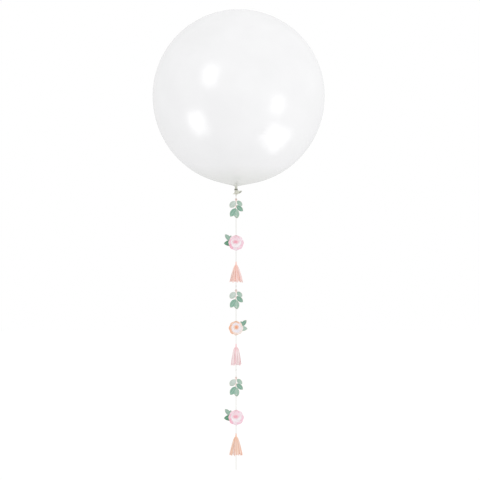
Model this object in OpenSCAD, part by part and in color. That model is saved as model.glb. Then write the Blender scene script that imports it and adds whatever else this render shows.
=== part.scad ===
// A round latex balloon with a threaded twine tail of leaf sprigs, roses and tissue tassels.
// Millimetres, +Z up, origin at the tie on the balloon's neck. -Y is the side the cards face.

/* [Balloon] */
// Width across the widest ring of the skin
skin_d = 914; // [600:2:1100]
// Height of the crown above the widest ring
crown_h = 459; // [300:1:560]
// Depth of the belly's curve below the widest ring
belly_h = 470; // [300:1:570]
// Width of the ring where the belly starts to draw in to the neck
draw_in_d = 240; // [160:2:300]
// Height over which the belly draws in to the neck
draw_in_h = 28.5; // [22:0.5:40]
// Thickness that the skin is drawn at
skin_t = 1.2; // [1:0.1:2]
// Lean of the balloon on its tie, in degrees
lean = 1.6; // [0:0.1:4]

/* [Neck] */
// Diameter of the pleated latex in the neck
neck_d = 13; // [10:0.5:16]
// Height of the gathered neck above the tie
neck_h = 14; // [10:1:20]
// Diameter of the cord that ties the neck
tie_cord_d = 2.6; // [1.5:0.1:3.2]
// Number of turns of the tie
tie_turns = 3; // [2:1:4]
// Gap between the neck and its tie
tie_gap = 0.05; // [0.02:0.01:0.2]
// Length of the loose end of the neck below the tie
end_l = 22; // [16:1:24]
// Thickness that the loose end is drawn at
end_wall = 1.2; // [1:0.1:1.6]
// Width of the mouth, from its left fold to its right fold
mouth_w = 46; // [36:1:56]
// Depth of the mouth, front to back
mouth_depth = 18; // [15:1:22]
// Shift of the mouth to the right of the neck
mouth_shift = 7.7; // [0:0.1:10]
// Height by which the mouth's right end is turned up
mouth_rise = 21; // [0:0.5:22]
// Height by which the mouth's left end is turned up
mouth_lift = 5; // [0:0.5:10]
// Extra rise of the mouth's front edge, at its right end, which leaves the mouth open to the front
mouth_open = 8; // [0:0.5:10]
// Diameter of the rolled rim at the mouth
rim_d = 2.8; // [2.2:0.1:4]

/* [Twine] */
// Diameter of the twine
twine_d = 1.9; // [1.5:0.1:2.3]
// Diameter of each knot
knot_d = 5.2; // [4.2:0.1:6.2]
// Slack of the tail's loop round the neck
loop_slack = 1.05; // [0.9:0.05:2]
// Gap between the tie and the loop that hangs under it
loop_gap = 0.3; // [0.2:0.1:1]
// Gap between twine ends that turn or bend against each other
turn_gap = 0.3; // [0.2:0.1:0.5]
// Gap between the twine and the bore of a knot threaded on it
knot_bore_gap = 0.02; // [0.02:0.01:0.1]

/* [Cards] */
// Thickness of the card
card_t = 0.5; // [0.3:0.1:0.8]
// Room round the twine in a punched hole
hole_gap = 1.35; // [1.2:0.05:2]
// Gap between the card and the twine that lies on it
lay_gap = 0.1; // [0.05:0.05:0.2]
// Clear length of twine past the edge of a card, which turns with the card
edge_clear = 5; // [3:1:8]
// Length of a sprig, from its top hole to its lower hole
sprig_pitch = 88; // [70:1:106]
// Width of the sprig's stem
stem_w = 5; // [4:0.5:7]
// Width of the card round the sprig's top hole
eye_w = 3.7; // [3:0.1:5]
// Width of a rose, across the ring that its petals stand on
rose_d = 82; // [68:1:99]
// Width of one petal
petal_w = 37.7; // [31:0.1:46]
// Number of petals round a rose
petals = 8; // [6:2:10]
// Width of the second rose as a share of the others
second_rose = 0.94; // [0.85:0.01:1.1]

/* [Tassels] */
// Thickness of paper round the twine at the top of a tassel's twisted head
head_wall = 1; // [0.8:0.1:2]
// Height of a tassel's twisted head
head_h = 18; // [14:1:24]
// Gap round the twine inside a tassel
bore_gap = 0.35; // [0.2:0.05:0.6]
// Gap round the knot in its pocket under the head
pocket_gap = 0.8; // [0.4:0.1:1.5]
// Thickness of paper round the top of the knot's pocket
pocket_wall = 0.9; // [0.8:0.1:1.2]
// Thickness of paper between the head and the knot's pocket
pocket_roof = 3; // [2:0.5:5]

/* [Hidden] */
$fn = 48;
// Heights along the tail, chosen by hand: each is a drop below the neck's tie.
KNOT_DROP = [34, 514, 960];
SPRIG_DROP = [54, 537, 1001];
ROSE_DROP = [284, 737, 1212];
TASSEL_DROP = [384, 820, 1296];
TASSEL_LENGTH = [112, 117, 120];
TASSEL_WIDTH = [70, 54, 73];
// How each fringe swells below its head: 1 is a straight cone, and less has more of a shoulder.
TASSEL_SWELL = [0.64, 0.42, 0.62];
TWINE_END = 1490;
// Route of the tail's loop, from the knot up the left, round behind the neck and down the right.
// The two numbers of a point on the neck are shares of the loop's radius.
LOOP_NECK = [[-0.8, -0.68], [-1, 0], [-0.7, 0.71], [0, 1], [0.7, 0.71], [1, 0], [0.8, -0.68]];
LOOP_LEFT = [[-1.2, -1.5, -31.4], [-4.2, -6.4, -20], [-6.4, -7.2, -11]];
// Leaves of a sprig as shares of its pitch, measured from its top hole: base, tip and width.
SPRIG_LEAVES = [[[-0.02, -0.11], [-0.37, -0.48], 0.37], [[0.06, -0.07], [0.37, -0.39], 0.28],
    [[0.02, -0.35], [0.42, -0.71], 0.3], [[0, -0.52], [-0.35, -1.04], 0.35],
    [[-0.03, -0.55], [0.07, -1.14], 0.37]];
// Stem and twigs of a sprig as shares of its pitch: start, end and share of the stem's width.
SPRIG_STEMS = [[[0, 0], [-0.02, -0.57], 1], [[-0.01, -0.32], [0.09, -0.41], 0.7],
    [[0, -0.06], [0.11, -0.13], 0.7]];
// Leaves of a rose card as shares of the rose's width, measured from its middle: base, tip and width.
ROSE_LEAVES = [[[-0.35, 0.12], [-0.72, 0.56], 0.29], [[-0.42, 0.24], [-0.32, 0.49], 0.15],
    [[-0.05, 0], [-0.8, -0.04], 0.39]];
LEAF_GREEN = "#9fc4b1";
PINK = "#f8c0d0";
PEACH = "#fabf9f";
TWINE = "#f1efe6";
LATEX = "#f2f1ed";
skin_r = skin_d / 2;
neck_r = neck_d / 2;
twine_r = twine_d / 2;
widest_z = neck_h + draw_in_h + belly_h * sin(draw_in_a());
// The turns of the tie bed a little into each other.
tie_pitch = tie_cord_d * 0.96;
tie_h = tie_pitch * (tie_turns - 1) + tie_cord_d;
loop_r = neck_r + loop_slack + twine_r;
loop_drop = tie_h / 2 + loop_gap + twine_r;
// The loose end starts to flare just below the loop.
flare_gap = 0.6;
gather_foot = -loop_drop - twine_r - flare_gap;
// The mouth is drawn back behind the tail's loop.
behind_loop = 3;
end_sides = 32;
end_steps = 8;
hole_d = twine_d + 2 * hole_gap;
eye_d = hole_d + 2 * eye_w;
card_y = twine_r + lay_gap + card_t / 2;
behind_y = 2 * card_y;
// Half of the height over which the twine crosses from one side of a card to the other.
cross_h = 1.6;
rose_top_hole = rose_d * 0.38;
rose_low_hole = rose_d * 0.43;
heart_d = rose_d * 0.8;
sprig_reach = -sprig_pitch * SPRIG_LEAVES[4][1].y;
rose_reach = rose_d * ROSE_LEAVES[0][1].y;
bore_r = twine_r + bore_gap;
pocket_r = knot_d / 2 + pocket_gap;
head_top_r = bore_r + head_wall;
head_foot_r = pocket_r + pocket_wall;

// ---- shared shapes ----

function draw_in_a() = acos(draw_in_d / skin_d);
function unit(v) = v / norm(v);
function bezier(a, b, c, d, t) = a * pow(1 - t, 3) + 3 * b * t * pow(1 - t, 2) + 3 * c * t * t * (1 - t)
    + d * pow(t, 3);

// Direction of a route at each of its points, for an open or a closed route.
function along(pts, closed) = let (n = len(pts)) [for (i = [0:n - 1])
    let (before = closed ? (i + n - 1) % n : max(i - 1, 0), after = closed ? (i + 1) % n : min(i + 1, n - 1))
    unit(unit(pts[after] - pts[i] + (after == i ? pts[i] - pts[before] : [0, 0, 0]))
        + unit(pts[i] - pts[before] + (before == i ? pts[after] - pts[i] : [0, 0, 0])))];

// A tube swept through points; up is any direction that the route never takes.
module tube(pts, d, up, closed = false, sides = 8) {
    n = len(pts);
    dirs = along(pts, closed);
    rings = [for (i = [0:n - 1]) let (u = unit(cross(dirs[i], up)), v = cross(u, dirs[i]))
        for (k = [0:sides - 1]) pts[i] + d / 2 * (cos(360 * k / sides) * u + sin(360 * k / sides) * v)];
    last = closed ? n - 1 : n - 2;
    walls = [for (i = [0:last]) for (k = [0:sides - 1]) let (j = (i + 1) % n, m = (k + 1) % sides)
        each [[i * sides + k, i * sides + m, j * sides + m], [i * sides + k, j * sides + m, j * sides + k]]];
    ends = closed ? [] : [[for (k = [sides - 1:-1:0]) k], [for (k = [0:sides - 1]) (n - 1) * sides + k]];
    polyhedron(rings, concat(walls, ends));
}

// A straight length of twine between two drops.
module straight(top, foot) {
    tube([[0, 0, -top], [0, 0, -foot]], twine_d, [1, 0, 0]);
}

// Twine that lies in front of a card, goes back through its top hole and out through its low hole.
module woven(top, high_hole, low_hole, foot) {
    tube([[0, 0, -top], [0, 0, -high_hole + cross_h], [0, behind_y, -high_hole - cross_h],
        [0, behind_y, -low_hole + cross_h], [0, 0, -low_hole - cross_h], [0, 0, -foot]], twine_d, [1, 0, 0]);
}

// A knot threaded on the twine, or with no hole where the twine stops at it.
module knot(drop, bored) {
    translate([0, 0, -drop])
    difference() {
        sphere(d = knot_d);
        if (bored) cylinder(r = twine_r + knot_bore_gap, h = 2 * knot_d, center = true);
    }
}

// Stands a flat outline up as a card that faces -Y, with its own zero at a drop.
module card(drop) {
    translate([0, card_y + card_t / 2, -drop]) rotate([90, 0, 0]) linear_extrude(card_t) children();
}

// A pointed leaf between two points: two arcs that meet at its base and its tip.
module leaf(base, tip, w) {
    span = norm(tip - base);
    arc_r = (span * span + w * w) / (4 * w);
    translate((base + tip) / 2) rotate(atan2(tip.y - base.y, tip.x - base.x))
    intersection() {
        translate([0, arc_r - w / 2]) circle(arc_r, $fn = 96);
        translate([0, w / 2 - arc_r]) circle(arc_r, $fn = 96);
    }
}

// A stem between two points with round ends.
module stem(a, b, w) {
    translate((a + b) / 2) rotate(atan2(b.y - a.y, b.x - a.x)) square([norm(b - a), w], center = true);
    translate(a) circle(d = w);
    translate(b) circle(d = w);
}

module leaning() {
    rotate([0, lean, 0]) children();
}

// ---- the balloon ----

// Half outline of the skin, from the crown down to the neck.
function skin_outline() = let (a = draw_in_a(), r = draw_in_d / 2, z = neck_h + draw_in_h,
    slope = belly_h / skin_r * cos(a) / sin(a))
    concat(
        [for (i = [24:-1:1]) [skin_r * cos(i * 3.75), widest_z + crown_h * sin(i * 3.75)]],
        [for (i = [0:19]) [skin_r * cos(i * a / 20), widest_z - belly_h * sin(i * a / 20)]],
        [for (i = [0:10]) bezier([r, z], [r * 0.45, z - slope * r * 0.55], [neck_r, neck_h + neck_r],
            [neck_r, neck_h], i / 10)]);

function inward(pts) = let (n = len(pts)) [for (i = [0:n - 1])
    let (t = unit(pts[min(i + 1, n - 1)] - pts[max(i - 1, 0)]))
    i == 0 ? [0, pts[0].y - skin_t] : i == n - 1 ? pts[i] - [skin_t, 0] : pts[i] + skin_t * [t.y, -t.x]];

module balloon_skin() {
    outer = skin_outline();
    inner = inward(outer);
    n = len(outer);
    color(LATEX) leaning() rotate_extrude($fn = 96)
        polygon(concat([[0, outer[0].y]], [for (i = [1:n - 1]) outer[i]], [for (i = [n - 1:-1:0]) inner[i]]));
}

module neck_gather() {
    color(LATEX) leaning() translate([0, 0, gather_foot]) cylinder(d = neck_d, h = neck_h - gather_foot);
}

// Outline of the loose neck end at a share s of its length: round at the loop, a wide fold at the mouth.
function end_ring(s, inset) = [for (k = [0:end_sides - 1])
    let (a = 360 * k / end_sides, dx = cos(a) * (neck_r + (mouth_w / 2 - neck_r) * pow(s, 1.3) - inset),
        dy = sin(a) * (neck_r + (mouth_depth / 2 - neck_r) * s - inset))
    [s * mouth_shift + dx, s * (mouth_depth / 2 + behind_loop) + dy,
        gather_foot - end_l * s - inset * max(cos(a), 0)
            + s * (max(cos(a), 0) * (mouth_rise - mouth_open * sin(a)) + max(-cos(a), 0) * mouth_lift)]];

module neck_end() {
    rings = [for (i = [0:end_steps]) end_ring(i / end_steps, 0),
        for (i = [end_steps:-1:0]) end_ring(i / end_steps, end_wall)];
    n = end_sides;
    count = len(rings);
    faces = [for (i = [0:count - 1]) for (k = [0:n - 1]) let (j = (i + 1) % count, m = (k + 1) % n)
        each [[i * n + k, i * n + m, j * n + m], [i * n + k, j * n + m, j * n + k]]];
    color(LATEX) leaning() polyhedron([for (ring = rings) each ring], faces);
}

module mouth_rim() {
    color(LATEX) leaning() translate([0, 0, -rim_d / 2])
        tube(end_ring(1, end_wall / 2), rim_d, [0, 0, 1], closed = true);
}

module neck_tie() {
    color("#86867c") leaning() rotate_extrude()
        for (i = [0:tie_turns - 1])
            translate([neck_r + tie_gap + tie_cord_d / 2, (i - (tie_turns - 1) / 2) * tie_pitch])
                circle(d = tie_cord_d);
}

// ---- the tail ----

module tail_loop() {
    neck_part = [for (p = LOOP_NECK) [p.x * loop_r, p.y * loop_r, -loop_drop]];
    right = [for (i = [len(LOOP_LEFT) - 1:-1:0]) [-LOOP_LEFT[i].x, LOOP_LEFT[i].y, LOOP_LEFT[i].z]];
    color(TWINE) tube(concat(LOOP_LEFT, neck_part, right), twine_d, [0, 0.5, 1]);
}

module loop_knot() {
    color(TWINE) knot(KNOT_DROP[0], false);
}

module joining_knot(i) {
    color(TWINE) knot(KNOT_DROP[i], false);
}

// Drops at which each card's own twine starts and stops. A sprig's starts right under the knot.
function sprig_top(i) = KNOT_DROP[i] + knot_d / 2 + turn_gap;
function sprig_foot(i) = SPRIG_DROP[i] + sprig_reach + edge_clear;
function rose_scale(i) = i == 1 ? second_rose : 1;
function rose_top(i) = ROSE_DROP[i] - rose_scale(i) * rose_reach - edge_clear;
function rose_foot(i) = ROSE_DROP[i] + rose_scale(i) * rose_reach + edge_clear;

// The twine of one repeat of the tail, in the lengths between its cards.
module twine(i) {
    color(TWINE) {
        straight(sprig_foot(i) + turn_gap, rose_top(i) - turn_gap);
        straight(rose_foot(i) + turn_gap, i == 2 ? TWINE_END : KNOT_DROP[i + 1] - knot_d / 2 - turn_gap);
    }
}

module sprig_twine(i) {
    color(TWINE) woven(sprig_top(i), SPRIG_DROP[i], SPRIG_DROP[i] + sprig_pitch, sprig_foot(i));
}

module rose_twine(i) {
    s = rose_scale(i);
    color(TWINE) woven(rose_top(i), ROSE_DROP[i] - s * rose_top_hole, ROSE_DROP[i] + s * rose_low_hole,
        rose_foot(i));
}

// Die-cut card of five leaves on a stem; its zero is the hole in the ring at the stem's top.
module sprig(i) {
    color(LEAF_GREEN) card(SPRIG_DROP[i])
    difference() {
        union() {
            circle(d = eye_d);
            for (b = SPRIG_STEMS) stem(b[0] * sprig_pitch, b[1] * sprig_pitch, b[2] * stem_w);
            for (b = SPRIG_LEAVES) leaf(b[0] * sprig_pitch, b[1] * sprig_pitch, b[2] * sprig_pitch);
        }
        circle(d = hole_d);
        translate([0, -sprig_pitch]) circle(d = hole_d);
    }
}

// Die-cut card of a rose with leaves at one side; its zero is the middle of the rose.
module rose(i) {
    color(i == 1 ? PEACH : PINK) card(ROSE_DROP[i]) mirror([i == 1 ? 1 : 0, 0]) scale(rose_scale(i))
    difference() {
        union() {
            circle(d = heart_d);
            for (k = [0:petals - 1])
                rotate(90 + 360 * k / petals) translate([(rose_d - petal_w) / 2, 0]) circle(d = petal_w);
            for (b = ROSE_LEAVES) leaf(b[0] * rose_d, b[1] * rose_d, b[2] * rose_d);
        }
        translate([0, rose_top_hole]) circle(d = hole_d);
        translate([0, -rose_low_hole]) circle(d = hole_d);
    }
}

// Twisted paper head: a plain turned solid with the twine's way through it.
module tassel_head(i) {
    color(i == 1 ? "#f0b4b6" : "#f5ab8e") translate([0, 0, -TASSEL_DROP[i]]) rotate_extrude()
        polygon([[bore_r, 0], [head_top_r, 0], [head_foot_r, -head_h], [bore_r, -head_h]]);
}

// Paper fringe as a swelling cone, with a pocket up its middle for the knot that holds the tassel.
module tassel_skirt(i) {
    foot_r = TASSEL_WIDTH[i] / 2;
    foot_z = -TASSEL_LENGTH[i];
    roof_z = -head_h - pocket_roof;
    steps = 8;
    side = [for (k = [0:steps]) let (t = k / steps)
        [head_foot_r + (foot_r - head_foot_r) * pow(t, TASSEL_SWELL[i]), -head_h + (foot_z + head_h) * t]];
    color(i == 1 ? "#f5d2d6" : "#f4c3ae") translate([0, 0, -TASSEL_DROP[i]]) rotate_extrude()
        polygon(concat([[bore_r, -head_h]], side, [[pocket_r, foot_z], [pocket_r, roof_z], [bore_r, roof_z]]));
}

module stopper_knot(i) {
    color(TWINE) knot(TASSEL_DROP[i] + head_h + pocket_roof + turn_gap + knot_d / 2, true);
}

balloon_skin();
neck_gather();
neck_end();
mouth_rim();
neck_tie();
tail_loop();
loop_knot();
joining_knot(1);  // joining_knot_1
joining_knot(2);  // joining_knot_2
twine(0);  // twine_1
twine(1);  // twine_2
twine(2);  // twine_3
sprig(0);  // sprig_1
sprig(1);  // sprig_2
sprig(2);  // sprig_3
sprig_twine(0);  // sprig_twine_1
sprig_twine(1);  // sprig_twine_2
sprig_twine(2);  // sprig_twine_3
rose(0);  // rose_1
rose(1);  // rose_2
rose(2);  // rose_3
rose_twine(0);  // rose_twine_1
rose_twine(1);  // rose_twine_2
rose_twine(2);  // rose_twine_3
tassel_head(0);  // tassel_head_1
tassel_head(1);  // tassel_head_2
tassel_head(2);  // tassel_head_3
tassel_skirt(0);  // tassel_skirt_1
tassel_skirt(1);  // tassel_skirt_2
tassel_skirt(2);  // tassel_skirt_3
stopper_knot(0);  // stopper_knot_1
stopper_knot(1);  // stopper_knot_2
stopper_knot(2);  // stopper_knot_3
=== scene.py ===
import math
import random

import bpy
from mathutils import Matrix, Vector


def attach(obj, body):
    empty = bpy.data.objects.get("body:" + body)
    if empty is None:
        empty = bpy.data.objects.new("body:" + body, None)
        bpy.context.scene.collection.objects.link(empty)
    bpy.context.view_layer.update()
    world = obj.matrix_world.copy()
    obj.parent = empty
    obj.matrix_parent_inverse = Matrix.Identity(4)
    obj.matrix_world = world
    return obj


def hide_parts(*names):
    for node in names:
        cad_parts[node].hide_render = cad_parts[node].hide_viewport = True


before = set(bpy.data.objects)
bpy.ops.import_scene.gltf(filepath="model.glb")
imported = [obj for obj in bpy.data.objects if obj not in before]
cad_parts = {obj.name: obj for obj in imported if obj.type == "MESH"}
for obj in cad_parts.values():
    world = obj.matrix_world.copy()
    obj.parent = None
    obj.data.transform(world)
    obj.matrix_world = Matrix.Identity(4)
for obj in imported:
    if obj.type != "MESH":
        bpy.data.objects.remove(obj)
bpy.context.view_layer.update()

MM = 0.001
FULL_TURN = 2 * math.pi
FRONT = Vector((0, -1, 0))

# ---- sizes of the balloon and its tail, in millimetres ----

SKIN_D, CROWN_H, BELLY_H = 914, 459, 470
# Walls as drawn, thicker than blown-up latex is.
SKIN_T, NECK_END_T, BEAD_R = 0.6, 0.9, 1.25
DRAW_IN_D, DRAW_IN_H = 240, 28.5
LEAN = math.radians(1.6)
NECK_R, NECK_H, PLEATS = 6.5, 14, 18
END_L, MOUTH_W, MOUTH_DEPTH, MOUTH_SHIFT = 22, 46, 18, 7.7
MOUTH_RISE, MOUTH_LIFT, MOUTH_OPEN, BEHIND_LOOP = 21, 5, 8, 3
GATHER_FOOT = -6.6
TIE_CORD_D, TIE_PITCH = 2.6, 2.5
TWINE_D = 1.9
TWINE_R = TWINE_D / 2
# Height in which the twine's three plies wind once round each other.
PLY_TURN = 7
KNOT_D = 5.2
# The twine in a pulled-tight knot is pressed thinner.
KNOT_SQUEEZE = 0.72
LOOP_R, LOOP_DROP, LOOP_LENGTH = 8.5, 5.05, 106
CARD_Y = 1.05
BEHIND_Y = 2.6
HOLE_D = 4.6
# Half of the height over which the twine curves through a punched hole.
CROSS_H = 2.85
PITCH, ROSE_D, SECOND_ROSE = 88, 82, 0.94
ROSE_TOP_HOLE, ROSE_LOW_HOLE = 0.38 * ROSE_D, 0.43 * ROSE_D
SPRIG_REACH, ROSE_REACH, EDGE_CLEAR = 1.14 * PITCH, 0.56 * ROSE_D, 5
HEAD_H, HEAD_TOP_R, HEAD_FOOT_R = 18, 2.3, 4.3
# Gap between a tassel's head and the knot inside that holds it up.
STOPPER_GAP = 3.3

# Drops below the neck's tie, one for each repeat of the tail.
KNOT_DROP = (34, 514, 960)
SPRIG_DROP = (54, 537, 1001)
ROSE_DROP = (284, 737, 1212)
TASSEL_DROP = (384, 820, 1296)
TWINE_END = 1490

# Route of the tail's loop: from the knot up the left, behind the neck and down the right.
LOOP_NECK = [(-0.8, -0.68), (-1, 0), (-0.7, 0.71), (0, 1), (0.7, 0.71), (1, 0), (0.8, -0.68)]
LOOP_END = 31.4
LOOP_LEFT = [(-1.2, -1.5, -LOOP_END), (-4.2, -6.4, -20), (-6.4, -7.2, -11)]


# ---- camera ----

def add_camera():
    """Looks straight at the cards' side from far off, with the balloon high in the frame."""
    wide, far, sensor = 2.549, 12.0, 36.0
    data = bpy.data.cameras.new("camera")
    data.sensor_width = sensor
    data.lens = sensor * far / wide
    camera = bpy.data.objects.new("camera", data)
    bpy.context.scene.collection.objects.link(camera)
    camera.location = (0.021, -far, -0.269)
    camera.rotation_euler = (math.radians(90), 0, 0)
    bpy.context.scene.camera = camera


# ---- making meshes ----

def deselect():
    bpy.ops.object.select_all(action="DESELECT")


def pick(piece):
    """Makes a piece the only one that the operators act on."""
    deselect()
    piece.select_set(True)
    bpy.context.view_layer.objects.active = piece
    return piece


def start(name, add, **settings):
    """Adds a primitive by itself and names it."""
    deselect()
    add(**settings)
    piece = bpy.context.object
    piece.name = piece.data.name = name
    return piece


def apply_modifier(piece, kind, **settings):
    """Adds a modifier with its settings and applies it."""
    pick(piece)
    modifier = piece.modifiers.new(kind.title(), kind)
    for key, value in settings.items():
        setattr(modifier, key, value)
    bpy.ops.object.modifier_apply(modifier=modifier.name)


def close_up(piece, distance=1e-5):
    """Merges points that meet and turns every face outwards."""
    pick(piece)
    bpy.ops.object.mode_set(mode="EDIT")
    bpy.ops.mesh.select_all(action="SELECT")
    bpy.ops.mesh.remove_doubles(threshold=distance)
    bpy.ops.mesh.normals_make_consistent(inside=False)
    bpy.ops.object.mode_set(mode="OBJECT")


def smooth(piece, angle=50):
    """Shades a piece smooth, apart from edges sharper than an angle in degrees."""
    pick(piece)
    bpy.ops.object.shade_smooth_by_angle(angle=math.radians(angle))


def join(name, parts):
    """Makes one piece of several."""
    pick(parts[0])
    for part in parts[1:]:
        part.select_set(True)
    if len(parts) > 1:
        bpy.ops.object.join()
    parts[0].name = parts[0].data.name = name
    return parts[0]


def lean(piece):
    """The balloon and its neck lean a little to one side over the tail."""
    piece.data.transform(Matrix.Rotation(LEAN, 4, "Y"))


def ringed(name, rings, looped=False):
    """A grid wrapped round a row of rings of points in millimetres, closed over at both ends unless
    it loops round. Its UV map holds the share of the way round and the distance along, in metres."""
    sides = len(rings[0])
    middles = [sum(ring, Vector()) / sides for ring in rings]
    length = sum((b - a).length for a, b in zip(middles, middles[1:])) * MM
    if looped:
        rings = rings + rings[:1]
    else:
        rings = [[middles[0]] * sides] + rings + [[middles[-1]] * sides]
    steps = len(rings) - 1
    piece = start(name, bpy.ops.mesh.primitive_grid_add, x_subdivisions=sides, y_subdivisions=steps, size=1)
    for vertex in piece.data.vertices:
        ring = rings[round((vertex.co.y + 0.5) * steps)]
        vertex.co = ring[round((vertex.co.x + 0.5) * sides) % sides] * MM
    for corner in piece.data.uv_layers.active.data:
        corner.uv.y *= length
    close_up(piece, 1e-7)
    return piece


def tube(name, line, radius, sides=14, side_way=Vector((1, 0, 0)), looped=False):
    """A tube along a line of points. radius takes the distance along and the angle round."""
    count = len(line)
    rings, along, across = [], 0.0, side_way
    for i, point in enumerate(line):
        before = line[i - 1] if looped or i else point
        after = line[(i + 1) % count] if looped or i < count - 1 else point
        way = (after - before).normalized()
        across = (across - across.dot(way) * way).normalized()
        up = way.cross(across)
        if i:
            along += (point - line[i - 1]).length
        angles = [FULL_TURN * k / sides for k in range(sides)]
        rings.append([point + radius(along, a) * (math.cos(a) * across + math.sin(a) * up)
                      for a in angles])
    return ringed(name, rings, looped)


def turned(name, outline, steps):
    """A point is extruded along a half outline of (radius, height), which is then spun round."""
    points = [Vector((r, 0, z)) * MM for r, z in outline]
    piece = start(name, bpy.ops.mesh.primitive_plane_add, size=1)
    bpy.ops.object.mode_set(mode="EDIT")
    bpy.ops.mesh.select_all(action="SELECT")
    bpy.ops.mesh.merge(type="CENTER")
    bpy.ops.transform.translate(value=points[0])
    for a, b in zip(points, points[1:]):
        bpy.ops.mesh.extrude_region_move(TRANSFORM_OT_translate={"value": b - a})
    bpy.ops.mesh.select_all(action="SELECT")
    bpy.ops.mesh.spin(steps=steps, angle=FULL_TURN, center=(0, 0, 0), axis=(0, 0, 1))
    bpy.ops.object.mode_set(mode="OBJECT")
    close_up(piece)
    return piece


def shaped_grid(name, columns, rows, place, thickness, tint=None):
    """A grid whose points are put where place(along, across) says, then given a thickness.
    along runs from 0 to 1 and across from -1 to 1; tint(along, across) gives a point's ink."""
    piece = start(name, bpy.ops.mesh.primitive_grid_add, x_subdivisions=columns,
                  y_subdivisions=rows, size=1)
    mesh = piece.data
    spots = [(v.co.y + 0.5, 2 * v.co.x) for v in mesh.vertices]
    if tint:
        ink = mesh.color_attributes.new("ink", "FLOAT_COLOR", "POINT")
        for value, (along, across) in zip(ink.data, spots):
            value.color = tint(along, across)
    for vertex, (along, across) in zip(mesh.vertices, spots):
        vertex.co = place(along, across) * MM
    close_up(piece, 2e-5)
    face_front = sum((p.normal * p.area for p in mesh.polygons), Vector()).dot(FRONT)
    if face_front < 0:
        pick(piece)
        bpy.ops.object.mode_set(mode="EDIT")
        bpy.ops.mesh.select_all(action="SELECT")
        bpy.ops.mesh.flip_normals()
        bpy.ops.object.mode_set(mode="OBJECT")
    apply_modifier(piece, "SOLIDIFY", thickness=thickness * MM, offset=-1)
    return piece


def curved(points, steps):
    """A smooth line through all the points, as a flexible cord takes."""
    line = []
    for i in range(len(points) - 1):
        a, b = points[i], points[i + 1]
        before = points[i - 1] if i else a - (b - a)
        after = points[i + 2] if i + 2 < len(points) else b + (b - a)
        for k in range(steps):
            t = k / steps
            line.append(0.5 * ((2 * a) + (b - before) * t + (2 * before - 5 * a + 4 * b - after) * t ** 2
                               + (3 * a - before - 3 * b + after) * t ** 3))
    return line + [points[-1]]


# ---- materials ----

def colour(code):
    """An sRGB hex colour as linear red, green, blue and alpha."""
    parts = [int(code[i:i + 2], 16) / 255 for i in (1, 3, 5)]
    return [p / 12.92 if p <= 0.04045 else ((p + 0.055) / 1.055) ** 2.4 for p in parts] + [1.0]


def add_node(tree, kind, settings=(), links=()):
    """Adds a node: settings are its own properties or its sockets' values, links feed its sockets."""
    node = tree.nodes.new(kind)
    for key, value in dict(settings).items():
        if isinstance(key, str) and hasattr(node, key):
            setattr(node, key, value)
        else:
            node.inputs[key].default_value = value
    for key, source in dict(links).items():
        tree.links.new(source, node.inputs[key])
    return node


def new_material(name, **shader):
    """A material with one Principled shader whose sockets are set by name."""
    material = bpy.data.materials.new(name)
    material.use_nodes = True
    tree = material.node_tree
    main = tree.nodes["Principled BSDF"]
    for key, value in shader.items():
        main.inputs[key.replace("_", " ")].default_value = value
    return material, tree, main


def ramp(tree, source, stops):
    """Turns a value into a colour, from (value, sRGB hex) stops."""
    node = add_node(tree, "ShaderNodeValToRGB", links={"Fac": source})
    elements = node.color_ramp.elements
    while len(elements) < len(stops):
        elements.new(0.5)
    for element, (position, code) in zip(elements, stops):
        element.position = position
        element.color = colour(code)
    return node.outputs["Color"]


def bump(tree, main, height, strength, distance):
    """Raises the shader's surface by a value; distance is in metres."""
    node = add_node(tree, "ShaderNodeBump", {"Strength": strength, "Distance": distance}, {"Height": height})
    tree.links.new(node.outputs["Normal"], main.inputs["Normal"])


def latex():
    """White natural-rubber latex, dipped on a former and blown up: glossy, with a faint waviness."""
    material, tree, main = new_material("dipped_latex_white", Roughness=0.24, IOR=1.52)
    place = add_node(tree, "ShaderNodeTexCoord").outputs["Object"]
    # The rubber is stretched least at the neck and the crown, so it is thicker and creamier there; only the
    # neck's end is drawn creamier.
    height = add_node(tree, "ShaderNodeSeparateXYZ", links={"Vector": place}).outputs["Z"]
    stretch = add_node(tree, "ShaderNodeMapRange", {"From Min": 0.01, "From Max": 0.12}, {"Value": height})
    tone = ramp(tree, stretch.outputs["Result"], [(0.02, "#dfe1d9"), (0.2, "#f1f2ef"), (1.0, "#fcfcfd")])
    cloud = add_node(tree, "ShaderNodeTexNoise", {"Scale": 1 / 0.18, "Detail": 2.0}, {"Vector": place})
    cloudy = ramp(tree, cloud.outputs["Fac"], [(0.35, "#fcfcfc"), (0.65, "#ffffff")])
    mixed = add_node(tree, "ShaderNodeMix", {"data_type": "RGBA", "blend_type": "MULTIPLY", "Factor": 1.0},
                     {6: tone, 7: cloudy})
    tree.links.new(mixed.outputs[2], main.inputs["Base Color"])
    # Ripples about 9 mm apart, a few hundredths of a millimetre deep, as the former leaves them.
    ripple = add_node(tree, "ShaderNodeTexNoise", {"Scale": 1 / 0.009, "Detail": 3.0}, {"Vector": place})
    bump(tree, main, ripple.outputs["Fac"], 0.06, 0.0003)
    return material


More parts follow.
